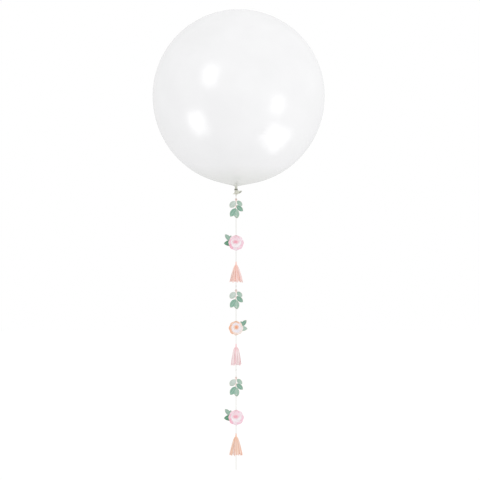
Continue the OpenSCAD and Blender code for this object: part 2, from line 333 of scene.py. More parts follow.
def neck_latex(name, inside=None):
    """The same latex left unstretched at the neck: thicker, creamier and finely creased. inside is the
    distance along the piece, in metres, past which it is the bare inner wall. That wall is given painted
    shade, a dark olive, deeper in and where the mouth gapes, on the right."""
    material, tree, main = new_material(name, Roughness=0.34, IOR=1.52)
    place = add_node(tree, "ShaderNodeTexCoord").outputs["Object"]
    cloud = add_node(tree, "ShaderNodeTexNoise", {"Scale": 1 / 0.008, "Detail": 4.0}, {"Vector": place})
    tone = ramp(tree, cloud.outputs["Fac"], [(0.35, "#d6d8c8"), (0.65, "#ecede5")])
    if inside:
        # Painted shade: past the mouth and towards the right, the inner wall is darkened to a dark olive.
        along = add_node(tree, "ShaderNodeSeparateXYZ",
                         links={"Vector": add_node(tree, "ShaderNodeTexCoord").outputs["UV"]}).outputs["Y"]
        depth = add_node(tree, "ShaderNodeMapRange", {"From Min": inside, "From Max": inside + 0.0025},
                         {"Value": along})
        across = add_node(tree, "ShaderNodeSeparateXYZ", links={"Vector": place}).outputs["X"]
        gape = add_node(tree, "ShaderNodeMapRange", {"From Min": 0.014, "From Max": 0.022}, {"Value": across})
        shade = add_node(tree, "ShaderNodeMath", {"operation": "MULTIPLY"},
                         {0: depth.outputs["Result"], 1: gape.outputs["Result"]})
        tone = add_node(tree, "ShaderNodeMix", {"data_type": "RGBA", 7: colour("#4b4a40")},
                        {"Factor": shade.outputs[0], 6: tone}).outputs[2]
    tree.links.new(tone, main.inputs["Base Color"])
    crease = add_node(tree, "ShaderNodeTexNoise", {"Scale": 1 / 0.0012, "Detail": 5.0}, {"Vector": place})
    bump(tree, main, crease.outputs["Fac"], 0.35, 0.0002)
    return material


def spun_cord(name, light, dark, roughness, fibre_mm):
    """A twisted cord: fibres lie along the strands, and the yarn's tone varies along it."""
    material, tree, main = new_material(
        name, Roughness=roughness, Sheen_Weight=0.25, Sheen_Roughness=0.5, Specular_IOR_Level=0.25)
    place = add_node(tree, "ShaderNodeTexCoord").outputs["UV"]
    # U is the share of the way round and V the metres along, so V is scaled by the fibre's length.
    lay = add_node(tree, "ShaderNodeMapping",
                   {"Rotation": (0, 0, 0.6), "Scale": (9, 0.25 / (fibre_mm * MM), 1)}, {"Vector": place})
    fibre = add_node(tree, "ShaderNodeTexNoise", {"Scale": 2.0, "Detail": 4.0},
                     {"Vector": lay.outputs["Vector"]})
    tree.links.new(ramp(tree, fibre.outputs["Fac"], [(0.3, dark), (0.6, light)]), main.inputs["Base Color"])
    bump(tree, main, fibre.outputs["Fac"], 0.5, 0.00015)
    return material


def print_material(name, roughness, veined):
    """Offset-printed card: matt ink on an uncoated board, whose fibre shows as a fine grain.
    The ink's colour is held by the mesh, and a leaf's veins run out from its midrib."""
    material, tree, main = new_material(name, Roughness=roughness, Specular_IOR_Level=0.35)
    ink = add_node(tree, "ShaderNodeAttribute", {"attribute_name": "ink"}).outputs["Color"]
    coords = add_node(tree, "ShaderNodeTexCoord")
    # Washes of ink 6 mm across, as a watercolour print has.
    wash = add_node(tree, "ShaderNodeTexNoise", {"Scale": 1 / 0.006, "Detail": 3.0},
                    {"Vector": coords.outputs["Object"]})
    washed = add_node(tree, "ShaderNodeMix", {"data_type": "RGBA", "blend_type": "MULTIPLY", "Factor": 1.0},
                      {6: ink, 7: ramp(tree, wash.outputs["Fac"], [(0.3, "#f8f6f7"), (0.65, "#ffffff")])})
    result = washed.outputs[2]
    if veined:
        parts = add_node(tree, "ShaderNodeSeparateXYZ", links={"Vector": coords.outputs["UV"]})
        # Distance from the midrib, as a share of the leaf's width.
        off = add_node(tree, "ShaderNodeMath", {"operation": "SUBTRACT", 1: 0.5}, {0: parts.outputs["X"]})
        off = add_node(tree, "ShaderNodeMath", {"operation": "ABSOLUTE"}, {0: off.outputs[0]})
        # Nine side veins a leaf, each slanting towards the tip.
        slant = add_node(tree, "ShaderNodeMath", {"operation": "MULTIPLY", 1: 0.9}, {0: off.outputs[0]})
        level = add_node(tree, "ShaderNodeMath", {"operation": "SUBTRACT"},
                         {0: parts.outputs["Y"], 1: slant.outputs[0]})
        turns = add_node(tree, "ShaderNodeMath", {"operation": "MULTIPLY", 1: 9 * FULL_TURN},
                         {0: level.outputs[0]})
        wave = add_node(tree, "ShaderNodeMath", {"operation": "COSINE"}, {0: turns.outputs[0]})
        side = add_node(tree, "ShaderNodeMapRange", {"From Min": 0.86, "From Max": 1.0, "To Max": 0.45},
                        {"Value": wave.outputs[0]})
        rib = add_node(tree, "ShaderNodeMapRange", {"From Min": 0.035, "From Max": 0.012, "To Max": 0.7},
                       {"Value": off.outputs[0]})
        vein = add_node(tree, "ShaderNodeMath", {"operation": "MAXIMUM"},
                        {0: side.outputs["Result"], 1: rib.outputs["Result"]})
        lined = add_node(tree, "ShaderNodeMix", {"data_type": "RGBA", 7: colour("#dcebe2")},
                         {"Factor": vein.outputs[0], 6: result})
        result = lined.outputs[2]
    tree.links.new(result, main.inputs["Base Color"])
    grain = add_node(tree, "ShaderNodeTexNoise", {"Scale": 1 / 0.0006, "Detail": 3.0},
                     {"Vector": coords.outputs["Object"]})
    bump(tree, main, grain.outputs["Fac"], 0.25, 0.00008)
    return material


def card_stock(name, front, back):
    """Die-cut cardboard, 0.5 mm: a printed front, and a bare uncoated back and edge with fibres."""
    material, tree, main = new_material(name, Roughness=0.82, Specular_IOR_Level=0.3)
    place = add_node(tree, "ShaderNodeTexCoord").outputs["Object"]
    depth = add_node(tree, "ShaderNodeSeparateXYZ", links={"Vector": place}).outputs["Y"]
    # The ink lies on the front face only, so it ends a tenth of a millimetre into the edge.
    side = add_node(tree, "ShaderNodeMapRange",
                    {"From Min": (CARD_Y + 0.05) * MM, "From Max": (CARD_Y + 0.15) * MM}, {"Value": depth})
    fibre = add_node(tree, "ShaderNodeTexNoise", {"Scale": 1 / 0.0009, "Detail": 5.0}, {"Vector": place})
    board = ramp(tree, fibre.outputs["Fac"], [(0.3, back), (0.7, "#fbf9f5")])
    mixed = add_node(tree, "ShaderNodeMix", {"data_type": "RGBA", 6: colour(front)},
                     {"Factor": side.outputs["Result"], 7: board})
    tree.links.new(mixed.outputs[2], main.inputs["Base Color"])
    bump(tree, main, fibre.outputs["Fac"], 0.3, 0.0001)
    return material


def tissue(name):
    """Dyed tissue paper, about 17 g/m2: thin, matt and finely crinkled, with a soft bloom at its folds.
    Light passes through its layers; a low glow of its own, painted light, stands in for it
    and lightens the shade between the strips."""
    # The emission is painted light: a faint warm glow all over the paper.
    material, tree, main = new_material(
        name, Roughness=0.75, Specular_IOR_Level=0.25, Sheen_Weight=0.3, Sheen_Roughness=0.6,
        Emission_Color=colour("#ffdcd4"), Emission_Strength=0.08)
    ink = add_node(tree, "ShaderNodeAttribute", {"attribute_name": "ink"}).outputs["Color"]
    place = add_node(tree, "ShaderNodeTexCoord").outputs["Object"]
    # Fibre clouds 3 mm across, and crinkles that run down the strips, 1.5 mm apart.
    cloud = add_node(tree, "ShaderNodeTexNoise", {"Scale": 1 / 0.003, "Detail": 4.0}, {"Vector": place})
    mixed = add_node(tree, "ShaderNodeMix", {"data_type": "RGBA", "blend_type": "MULTIPLY", "Factor": 1.0},
                     {6: ink, 7: ramp(tree, cloud.outputs["Fac"], [(0.3, "#f8f5f4"), (0.65, "#ffffff")])})
    tree.links.new(mixed.outputs[2], main.inputs["Base Color"])
    down = add_node(tree, "ShaderNodeMapping", {"Scale": (1, 1, 0.15)}, {"Vector": place})
    crinkle = add_node(tree, "ShaderNodeTexNoise", {"Scale": 1 / 0.0015, "Detail": 3.0},
                       {"Vector": down.outputs["Vector"]})
    bump(tree, main, crinkle.outputs["Fac"], 0.5, 0.0003)
    return material


FINISH = {
    "latex": latex(),
    "neck_latex": neck_latex("dipped_latex_unstretched"),
    "mouth_latex": neck_latex("dipped_latex_at_the_mouth", 0.019),
    # The tie cord's dark grey-olive is partly painted shade: the shade in the tight constriction round the
    # neck is drawn into the cord's own colour.
    "tie": spun_cord("dark_tie_cord_with_painted_shade", "#8d8b7f", "#5e5d54", 0.6, 1.5),
    "twine": spun_cord("undyed_cotton_twine", "#c9c4b6", "#b0a997", 0.85, 2.5),
    "leaf": print_material("printed_leaf_card", 0.7, True),
    "petal": print_material("printed_petal_card", 0.7, False),
    "sprig_card": card_stock("die_cut_card_cream_front", "#f6e8e1", "#efe9df"),
    "pink_card": card_stock("die_cut_card_pink_front", "#fadfe7", "#efe9df"),
    "peach_card": card_stock("die_cut_card_peach_front", "#fde3d5", "#efe9df"),
    "tissue": tissue("dyed_tissue_paper"),
}


def settle(piece, finish, body, slot, *nodes):
    """Gives a finished piece its material, its body and the nodes it stands for; slot is not used."""
    piece.data.materials.clear()
    piece.data.materials.append(FINISH[finish])
    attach(piece, body)
    if nodes:
        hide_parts(*nodes)
    return piece


# ---- the twine ----

def ply_radius(along, angle):
    """Three plies wound round each other."""
    return TWINE_R * (0.93 + 0.07 * math.cos(3 * (angle - FULL_TURN * along / PLY_TURN)))


def even(line, step=0.8):
    """The same line with its points a step apart."""
    out, need = [line[0]], step
    for a, b in zip(line, line[1:]):
        span = (b - a).length
        at = need
        while at < span:
            out.append(a.lerp(b, at / span))
            at += step
        need = at - span
    return out + [line[-1]]


def cross_offset(down, high, low):
    """How far behind the front line the twine runs: it curves back at the high hole and out at the low."""
    def bend(t):
        t = min(max(t, 0), 2 * CROSS_H)
        reach = (4 * CROSS_H ** 2 + BEHIND_Y ** 2) / (4 * BEHIND_Y)
        if t < CROSS_H:
            return reach - math.sqrt(reach ** 2 - t ** 2)
        return BEHIND_Y - reach + math.sqrt(reach ** 2 - (2 * CROSS_H - t) ** 2)
    return bend(down - high + CROSS_H) - bend(down - low + CROSS_H)


def straight_line(top, foot):
    """The twine's route down the tail where it hangs free."""
    return [Vector((0, 0, -top)), Vector((0, 0, -foot))]


def woven_line(top, foot, high, low):
    """The twine's route at a card: to the back at the high hole and to the front at the low one."""
    spacing = 0.5
    count = round((foot - top) / spacing)
    downs = [top + (foot - top) * i / count for i in range(count + 1)]
    return [Vector((0, cross_offset(down, high, low), -down)) for down in downs]


def add_cord(name, line, body, node=None):
    """A stretch of twine along a line of points in millimetres."""
    line = even(line)
    piece = settle(tube(name, line, ply_radius), "twine", body, "cotton_twine", *([node] if node else []))
    smooth(piece, 80)
    return piece


def overhand_knot(name, drop, body, node, size=KNOT_D):
    """A pulled-tight overhand knot: the twine in a trefoil, closed on itself."""
    turns = [FULL_TURN * i / 90 for i in range(90)]
    shape = [Vector(((math.sin(t) + 2 * math.sin(2 * t)) * 0.26, 0.5 * -math.sin(3 * t),
                     (math.cos(t) - 2 * math.cos(2 * t)) * 0.3)) for t in turns]
    line = [Vector((0, 0, -drop)) + point * size / 2 for point in shape]
    piece = tube(name, line, lambda along, angle: KNOT_SQUEEZE * ply_radius(along, angle), 12,
                 Vector((0, 1, 0)), looped=True)
    smooth(piece, 80)
    return settle(piece, "twine", body, "cotton_twine", node)


def add_twine():
    """Knots first, then the loop round the neck and the twine between the cards, from the top down."""
    half = KNOT_D / 2
    knots = [overhand_knot(f"overhand_knot_{k + 1}", KNOT_DROP[k], f"tail_bend_{k + 1}",
                           ("loop_knot", "joining_knot_1", "joining_knot_2")[k]) for k in range(3)]
    around = [Vector((x * LOOP_R, y * LOOP_R, -LOOP_DROP)) for x, y in LOOP_NECK]
    left = [Vector(p) for p in LOOP_LEFT]
    right = [Vector((-p.x, p.y, p.z)) for p in reversed(left)]
    in_knot = Vector((0.7, -0.8, -LOOP_END - 1.4))
    first = Vector((-in_knot.x, in_knot.y, in_knot.z))
    loop = curved([first] + left + around + right + [in_knot], 8)
    add_cord("loop_of_twine", loop, "balloon", "tail_loop")
    for k in range(3):
        tail, number = f"tail_{k + 1}", k + 1
        end = TWINE_END if k == 2 else KNOT_DROP[k + 1] - half
        scale = SECOND_ROSE if k == 1 else 1
        sprig_foot = SPRIG_DROP[k] + SPRIG_REACH + EDGE_CLEAR
        rose_top = ROSE_DROP[k] - scale * ROSE_REACH - EDGE_CLEAR
        rose_foot = ROSE_DROP[k] + scale * ROSE_REACH + EDGE_CLEAR
        sprig_top = KNOT_DROP[k] + half
        stopper = overhand_knot(f"knot_in_tassel_{number}", TASSEL_DROP[k] + HEAD_H + STOPPER_GAP + half,
                                tail, f"stopper_knot_{number}")
        add_cord(f"twine_through_sprig_{number}",
                 woven_line(sprig_top, sprig_foot, SPRIG_DROP[k], SPRIG_DROP[k] + PITCH),
                 f"sprig_{number}_card", f"sprig_twine_{number}")
        add_cord(f"twine_to_rose_{number}", straight_line(sprig_foot, rose_top),
                 tail, f"twine_{number}")
        add_cord(f"twine_through_rose_{number}",
                 woven_line(rose_top, rose_foot, ROSE_DROP[k] - scale * ROSE_TOP_HOLE,
                            ROSE_DROP[k] + scale * ROSE_LOW_HOLE),
                 f"rose_{number}_card", f"rose_twine_{number}")
        add_cord(f"twine_below_rose_{number}", straight_line(rose_foot, end), tail)


# ---- the balloon ----

def skin_outline():
    """Half outline from the crown to the neck: the crown's and the belly's curves, then the draw-in."""
    radius, stop = SKIN_D / 2, math.acos(DRAW_IN_D / SKIN_D)
    widest = NECK_H + DRAW_IN_H + BELLY_H * math.sin(stop)
    crown = [(radius * math.cos(a), widest + CROWN_H * math.sin(a))
             for a in (math.pi / 2 * i / 36 for i in range(36, 0, -1))]
    belly = [(radius * math.cos(a), widest - BELLY_H * math.sin(a))
             for a in (stop * i / 32 for i in range(32))]
    r, z = DRAW_IN_D / 2, NECK_H + DRAW_IN_H
    slope = BELLY_H / radius / math.tan(stop)
    a, b = Vector((r, z)), Vector((r * 0.45, z - slope * r * 0.55))
    c, d = Vector((NECK_R, NECK_H + NECK_R)), Vector((NECK_R, NECK_H))
    draw_in = [tuple(a * (1 - t) ** 3 + 3 * b * t * (1 - t) ** 2 + 3 * c * t * t * (1 - t) + d * t ** 3)
               for t in (i / 20 for i in range(21))]
    return crown + belly + draw_in


def pleat(angle):
    """Uneven pleats round the neck, from -1 to 1."""
    return math.cos(PLEATS * angle + 0.9 * math.sin(3 * angle))


def add_skin():
    """The blown-up skin, whose pleats run out of the neck and fade a hand's width up."""
    piece = turned("inflated_skin", skin_outline(), 160)
    pleats_end = 90
    for vertex in piece.data.vertices:
        x, y, z = vertex.co / MM
        share = max(0.0, min(1.0, (pleats_end - z) / (pleats_end - NECK_H)))
        if share > 0:
            r = math.hypot(x, y)
            depth = (0.55 + 0.05 * min(r - NECK_R, 30)) * share ** 2
            grow = 1 + depth * pleat(math.atan2(y, x)) / max(r, 1)
            vertex.co = Vector((x * grow, y * grow, z)) * MM
    lean(piece)
    apply_modifier(piece, "SOLIDIFY", thickness=SKIN_T * MM, offset=-1)
    smooth(piece)
    settle(piece, "latex", "balloon", "latex", "balloon_skin")


def add_neck():
    """The gathered column above and through the tie, with the same pleats as the skin it runs into."""
    # How far the column's top is tucked up inside the skin.
    tucked = 1.0
    heights = [GATHER_FOOT + (NECK_H - GATHER_FOOT) * i / 30 for i in range(31)] + [NECK_H + tucked]

    def radius(along, angle):
        z = along + GATHER_FOOT
        pleats = pleat(angle)
        if z > NECK_H + tucked / 2:
            return NECK_R - 1.4
        tight = max(0.0, 1 - abs(z) / 7) ** 0.5
        flare = max(0.0, z / NECK_H) ** 3
        return NECK_R - 0.55 * (1 - flare) - 0.35 * tight + (0.55 - 0.35 * tight) * pleats

    piece = tube("pleated_neck", [Vector((0, 0, z)) for z in heights], radius, 144)
    lean(piece)
    smooth(piece)
    settle(piece, "neck_latex", "balloon", "latex", "neck_gather")


def mouth_ring(share, inset):
    """Ring of the loose end at a share of its length: round at the loop, a wide ruffled fold at the mouth."""
    ring = []
    for k in range(72):
        a = FULL_TURN * k / 72
        right, left = ((1 + math.cos(a)) / 2) ** 1.6, ((1 - math.cos(a)) / 2) ** 2.5
        folds = 0.05 * math.cos(7 * a + 0.6) + 0.03 * math.cos(11 * a)
        ruffle = 1 + share * folds + 0.06 * (1 - share) * pleat(a)
        x = math.cos(a) * (NECK_R - 0.45 + (MOUTH_W / 2 - NECK_R) * share ** 1.3 - inset) * ruffle
        y = math.sin(a) * (NECK_R - 0.45 + (MOUTH_DEPTH / 2 - NECK_R) * share - inset) * ruffle
        rise = right * (MOUTH_RISE - MOUTH_OPEN * math.sin(a)) + left * MOUTH_LIFT
        rise += 0.7 * share * math.cos(5 * a + 1.2)
        ring.append(Vector((share * MOUTH_SHIFT + x, share * (MOUTH_DEPTH / 2 + BEHIND_LOOP) + y,
                            GATHER_FOOT - END_L * share - inset * right + share * rise)))
    return ring


def add_loose_end():
    """The flared end of the neck below the tie, and the bead rolled at its mouth."""
    outside = [mouth_ring(i / 16, 0) for i in range(17)]
    inside = [mouth_ring(i / 16, NECK_END_T) for i in range(16, 1, -1)]
    piece = ringed("loose_neck_end", outside + inside)
    lean(piece)
    smooth(piece)
    settle(piece, "mouth_latex", "balloon", "latex", "neck_end")
    line = [point + Vector((0, 0, -0.7)) for point in mouth_ring(1, NECK_END_T / 2)]

    def rolled(along, angle):
        return BEAD_R + 0.12 * math.sin(along / 3.1)

    bead = tube("rolled_mouth_bead", line, rolled, 14, Vector((0, 0, 1)), looped=True)
    lean(bead)
    smooth(bead)
    settle(bead, "neck_latex", "balloon", "latex", "mouth_rim")


def add_tie():
    """Three turns of dark four-strand cord, wound tight round the neck."""
    ring_r = NECK_R + 0.05 + TIE_CORD_D / 2
    turns, count, strand_turn = 3, 180, 9
    line = []
    for i in range(count + 1):
        a = FULL_TURN * turns * i / count + math.pi / 2
        z = (i / count - 0.5) * TIE_PITCH * (turns - 1)
        line.append(Vector((ring_r * math.cos(a), ring_r * math.sin(a), z)))

    def strands(along, angle):
        return TIE_CORD_D / 2 * (0.93 + 0.07 * math.cos(4 * (angle - FULL_TURN * along / strand_turn)))

    wound = tube("wound_tie_cord", line, strands, 16, Vector((0, 0, 1)))
    lean(wound)
    smooth(wound)
    settle(wound, "tie", "balloon", "tie_cord", "neck_tie")


# ---- the cards ----

def under_twine(place, drop, high, low):
    """Keeps a relief flat on the card where the twine lies across the card's edge."""
    def pressed(along, across):
        point = place(along, across)
        past = point.z > -drop + high - 2 or point.z < -drop - low + 2
        if abs(point.x) < 2.6 and past:
            point.y = max(point.y, TWINE_R + 0.05)
        return point
    return pressed


def punch(piece, drop, heights):
    """Cuts the punched holes that lie within a relief."""
    for z in heights:
        cutter = start("punch", bpy.ops.mesh.primitive_cylinder_add, vertices=32, radius=HOLE_D / 2 * MM,
                       depth=20 * MM, location=(0, 0, (z - drop) * MM), rotation=(math.pi / 2, 0, 0))
        box = [v.co / MM for v in piece.data.vertices]
        reach = HOLE_D / 2 + 0.5
        near = any(abs(p.x) < reach and abs(p.z - z + drop) < reach for p in box)
        if near:
            apply_modifier(piece, "BOOLEAN", operation="DIFFERENCE", object=cutter, solver="EXACT")
        bpy.data.objects.remove(cutter)


def blend_ink(a, b, share):
    """A colour between two inks, at a share of the way from the first."""
    share = min(max(share, 0), 1)
    return [p * (1 - share) + q * share for p, q in zip(a, b)]


def lens(share, span, width):
    """Half width of a leaf whose sides are two arcs that meet at its base and its tip."""
    arc = (span ** 2 + width ** 2) / (4 * width)
    return max(math.sqrt(arc ** 2 - (span * (share - 0.5)) ** 2) - arc + width / 2, 0)


def add_leaf(name, base, tip, width, drop, scale, mirror, front, tone, edge, low, under=0):
    """A leaf in low relief: domed, creased along its midrib, paler or darker towards its tip.
    under is the radius from the card's middle within which petals lie over the leaf."""
    base, tip = Vector(base), Vector(tip)
    way = (tip - base).normalized()
    side = Vector((way.y, -way.x))
    base, tip = base + way * 0.8, tip - way * 1.4
    span = (tip - base).length

    def place(along, across):
        half = lens(along, span, width - 1.6)
        spot = base + way * span * along + side * half * across
        # The leaf bends a little to one side, as a drawn leaf does.
        spot += side * 0.02 * width * math.sin(math.pi * along)
        dome = 0.75 * (1 - across ** 2) * math.sin(math.pi * along) ** 0.7
        crease = 0.35 * math.exp(-(across / 0.12) ** 2) * math.sin(math.pi * along)
        veins = 0.06 * math.cos(FULL_TURN * (9 * along - 4 * abs(across))) * (1 - across ** 2)
        relief = dome - crease + veins
        if under:
            relief *= min(max((spot.length - under) / 8, 0), 1)
        spot *= scale
        return Vector((-spot.x if mirror else spot.x, front - relief, spot.y - drop))

    def tint(along, across):
        return blend_ink(colour(tone), colour(edge), 0.75 * along + 0.25 * abs(across))

    return shaped_grid(name, 16, 44, under_twine(place, drop, 0, low), 0.35, tint)


SPRIG_LEAVES = [
    # base, tip and width as shares of the sprig's pitch, then the ink at the base and at the tip
    ((-0.02, -0.11), (-0.37, -0.48), 0.37, "#d6e2da", "#bccdc2"),
    ((0.06, -0.07), (0.37, -0.39), 0.28, "#98bfaa", "#bbd0c4"),
    ((0.02, -0.35), (0.42, -0.71), 0.3, "#78a791", "#89b49f"),
    ((0, -0.52), (-0.35, -1.04), 0.35, "#7eae98", "#8fbba6"),
    ((-0.03, -0.55), (0.07, -1.14), 0.37, "#a8c4b4", "#9dc1ae"),
]
SPRIG_STEMS = [((0, -0.05), (-0.02, -0.57), 1), ((-0.01, -0.32), (0.09, -0.41), 0.7),
               ((0, -0.06), (0.11, -0.13), 0.7)]


def add_stem(name, start_at, end_at, width, drop, front):
    """A twig in low relief, rounded across, pink at its edges."""
    a, b = Vector(start_at), Vector(end_at)
    way = (b - a).normalized()
    side = Vector((way.y, -way.x))

    def place(along, across):
        spot = a.lerp(b, along) + side * width / 2 * across * (1 - 0.25 * along)
        return Vector((spot.x, front - 0.4 * (1 - across ** 2), spot.y - drop))

    def tint(along, across):
        return blend_ink(colour("#f9e9e2"), colour("#eec5b9"), across ** 2 + 0.25 * math.sin(9 * along))

    return shaped_grid(name, 6, 20, under_twine(place, drop, 0, PITCH), 0.3, tint)


def add_eyelet(name, drop, front):
    """A ring in low relief round the sprig's top hole: brown next to the hole and pink outside."""
    def place(along, across):
        r = HOLE_D / 2 + 0.15 + (across + 1) / 2 * 3.2
        a = FULL_TURN * along
        return Vector((r * math.cos(a), front - 0.25 * (1 - across ** 2), r * math.sin(a) - drop))

    def tint(along, across):
        return blend_ink(colour("#b59c8e"), colour("#f1cfc6"), (across + 1) * 0.8)

    return shaped_grid(name, 6, 40, under_twine(place, drop, 0, PITCH), 0.2, tint)


def add_sprigs():
    """The print on the three sprig cards, leaves and twigs, and the ring round the top hole."""
    for k in range(3):
        drop = SPRIG_DROP[k]
        layers = []
        for i, (base, tip, width, tone, edge) in enumerate(SPRIG_LEAVES):
            # Of the leaves that overlap, an earlier one lies further forward.
            front = CARD_Y - 0.02 - 0.1 * (4 - i if i < 3 else 5 - i)
            layers.append(add_leaf(f"leaf_{i}", Vector(base) * PITCH, Vector(tip) * PITCH, width * PITCH,
                                   drop, 1, False, front, tone, edge, PITCH))
        stems = [add_stem(f"twig_{i}", Vector(a) * PITCH, Vector(b) * PITCH, 4.2 * w, drop, CARD_Y - 0.05)
                 for i, (a, b, w) in enumerate(SPRIG_STEMS)]
        ring = add_eyelet("ring", drop, CARD_Y - 0.02)
        for part in layers:
            punch(part, drop, (0, -PITCH))
        stalks = join(f"printed_stem_{k + 1}", stems + [ring])
        leaves = join(f"printed_leaves_{k + 1}", layers)
        for piece, finish in ((stalks, "petal"), (leaves, "leaf")):
            smooth(piece)
            settle(piece, finish, f"sprig_{k + 1}_card", "leaf_card")


PINK_ROSE = {
    # ink at the base and at the rim of each petal, from the top round by the left
    "outer": [("#ffe6ee", "#fac2d2"), ("#fff0f5", "#fed3df"), ("#ffe0ea", "#fdc0d2"), ("#ffd3e0", "#fba8c0"),
              ("#ffedf3", "#f8dae8"), ("#fff2f6", "#fab9d0"), ("#ffe8f0", "#fdc3d7"), ("#fff4f8", "#fedfea")],
    "middle": [("#ffe9f0", "#fcd3e0"), ("#fffafc", "#fdf4f8"), ("#fffcfd", "#fff6fa"), ("#fffafc", "#fdeff5"),
               ("#fffcfd", "#fdf6fa"), ("#fff0f5", "#fddde8")],
    "inner": [("#fdd5de", "#ffeef3")],
    "heart": [("#fbb3c4", "#fecbd6")],
}
PEACH_ROSE = {
    "outer": [("#fddfcb", "#fabf9c"), ("#fce0cf", "#fbc9ab"), ("#fbd3ba", "#f9b48e"), ("#fcd6c0", "#f9b793"),
              ("#fdeade", "#fbd6c2"), ("#fdf3ee", "#fcece4"), ("#fef6f3", "#fdeee9"), ("#fdf0ea", "#fce0d4")],
    "middle": [("#fbf6fb", "#f5effa"), ("#fdf6f6", "#fbe9e6"), ("#fdf9f9", "#f8f2f6"), ("#fbf7fc", "#f1effa"),
               ("#fcf7fb", "#f6f0fa"), ("#fbf6fb", "#f5effa")],
    "inner": [("#ffd0b4", "#fff1ea")],
    "heart": [("#fbb08c", "#fdc0a1")],
}
ROSE_LEAVES = [
    ((-0.35, 0.12), (-0.72, 0.56), 0.29, "#88af9a", "#a3c2b1"),
    ((-0.42, 0.24), (-0.32, 0.49), 0.15, "#8bb29d", "#9dbfad"),
    ((-0.05, 0), (-0.8, -0.04), 0.39, "#3f8763", "#4f946f"),
]
PEACH_LEAF_INKS = [("#6b9f87", "#82ae98"), ("#6fa28a", "#82ae98"), ("#9dc0ae", "#b3cdbf")]
# Within this radius a rose's petals lie over its leaves.
PETALS_OVER = 38
PETAL_RINGS = [
    # ring, number of petals, turn of the first, radius of base and rim, width, height on the card, cup
    ("outer", 8, math.pi / 2, 8, 40.6, 35, 0.12, 0.35),
    ("middle", 6, math.pi / 2 + 0.4, 4, 27.5, 28, 0.6, 0.6),
    ("inner", 5, 0.2, 1, 15, 17, 1.3, 0.6),
    ("heart", 4, 0.9, 0, 8.8, 9.8, 2.0, 0.5),
]


def add_petal(name, middle, angle, inner_r, outer_r, width, front, cup, inks, drop, scale, squeeze=(1, 1)):
    """A petal in low relief, narrow at its base and round at its rim, one side tucked under its neighbour."""
    way = Vector((math.cos(angle), math.sin(angle)))
    side = Vector((way.y, -way.x))
    base, length = Vector(middle) + way * inner_r, outer_r - inner_r

    def place(along, across):
        along = (1 - math.cos(math.pi * along)) / 2
        half = width / 2 * max(math.sin(math.pi * along ** 1.5), 0) ** 0.5
        ruffle = 0.012 * length * math.sin(5 * across + 7 * angle) * along
        spot = base - Vector(middle) + way * (length * along + ruffle) + side * half * across
        spot = (Vector(middle) + spot * Vector(squeeze)) * scale
        lift = cup * (along ** 2 * 0.6 + 0.5 * across ** 2) + 0.22 * across
        wave = 0.12 * math.sin(6 * across + 3 * angle) * along
        return Vector((spot.x, front - lift - wave, spot.y - drop))

    def tint(along, across):
        rim = along ** 2 * 0.85 + 0.5 * across ** 4
        return blend_ink(colour(inks[0]), colour(inks[1]), rim + 0.12 * math.sin(17 * along + 5 * across))

    high, low = scale * ROSE_TOP_HOLE, scale * ROSE_LOW_HOLE
    return shaped_grid(name, 14, 18, under_twine(place, drop, high, low), 0.3, tint)


def add_roses():
    """The print on the three rose cards: four rings of petals, and the leaves beside them."""
    for k in range(3):
        drop, number = ROSE_DROP[k], k + 1
        mirror, scale = k == 1, SECOND_ROSE if k == 1 else 1
        high, low = scale * ROSE_TOP_HOLE, scale * ROSE_LOW_HOLE
        inks = PEACH_ROSE if mirror else PINK_ROSE
        # The pink roses' hearts are wider than they are high.
        heart, squeeze = ((2, 5), (1, 1)) if mirror else ((-2, 5), (1.35, 0.85))
        petals = []
        for ring, count, first, inner_r, outer_r, width, height, cup in PETAL_RINGS:
            middle = {"outer": (0, 0), "middle": (0, 1.5)}.get(ring, heart)
            flatten = (1, 1) if ring in ("outer", "middle") else squeeze
            for i in range(count):
                angle = first + FULL_TURN * i / count
                petal = add_petal(ring, middle, angle, inner_r, outer_r, width, CARD_Y - height, cup,
                                  inks[ring][i % len(inks[ring])], drop, scale, flatten)
                petals.append(petal)
        leaves = []
        for i, (base, tip, width, tone, edge) in enumerate(ROSE_LEAVES):
            if mirror:
                tone, edge = PEACH_LEAF_INKS[i]
            leaf = add_leaf(f"leaf_{i}", Vector(base) * ROSE_D, Vector(tip) * ROSE_D, width * ROSE_D, drop,
                            scale, mirror, CARD_Y - 0.02 - 0.02 * i, tone, edge, low, PETALS_OVER)
            leaves.append(leaf)
        for part in petals[:PETAL_RINGS[0][1]]:
            punch(part, drop, (high, -low))
        slot = "peach_rose_card" if mirror else "pink_rose_card"
        flower = join(f"printed_rose_{number}", petals)
        smooth(flower)
        settle(flower, "petal", f"rose_{number}_card", slot)
        foliage = join(f"printed_rose_leaves_{number}", leaves)
        smooth(foliage)
        settle(foliage, "leaf", f"rose_{number}_card", slot)


def finish_cards():
    """Gives the cards themselves their board, with the print's ground colour on the front."""
    for k in range(3):
        rose_board = "peach_card" if k == 1 else "pink_card"
        for name, board in ((f"sprig_{k + 1}", "sprig_card"), (f"rose_{k + 1}", rose_board)):
            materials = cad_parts[name].data.materials
            materials.clear()
            materials.append(FINISH[board])


# ---- the tassels ----

TASSELS = [
    # strips are those of the outer layer, and a swell nearer 0 makes the fringe fuller near its head
    {"width": 70, "length": 112, "swell": 0.64, "strips": 24, "head": "#f8c0ae", "tip": "#f0d0c8",
     "inks": ["#f8d2c6", "#f7e0da", "#f4c8bc", "#f8dacd", "#f6dbd9"]},
    {"width": 54, "length": 117, "swell": 0.42, "strips": 24, "head": "#f4bcc2", "tip": "#ecced3",
     "inks": ["#f4d6d9", "#f5e7e9", "#f4d6de", "#f4dee0", "#f4cfd6"]},
    {"width": 73, "length": 120, "swell": 0.62, "strips": 17, "head": "#f3b792", "tip": "#e4b3a0",
     "inks": ["#f2cfb9", "#f2d9cb", "#f0c1aa", "#f2d2b8", "#f2d4ca"]},
]
LAYERS = 3
# Share of a strip's length from which its tip curls and takes the tip's ink.
TIP_FROM = 0.85
# How far the strips' tops are tucked up into the head.
TUCKED = 1.5


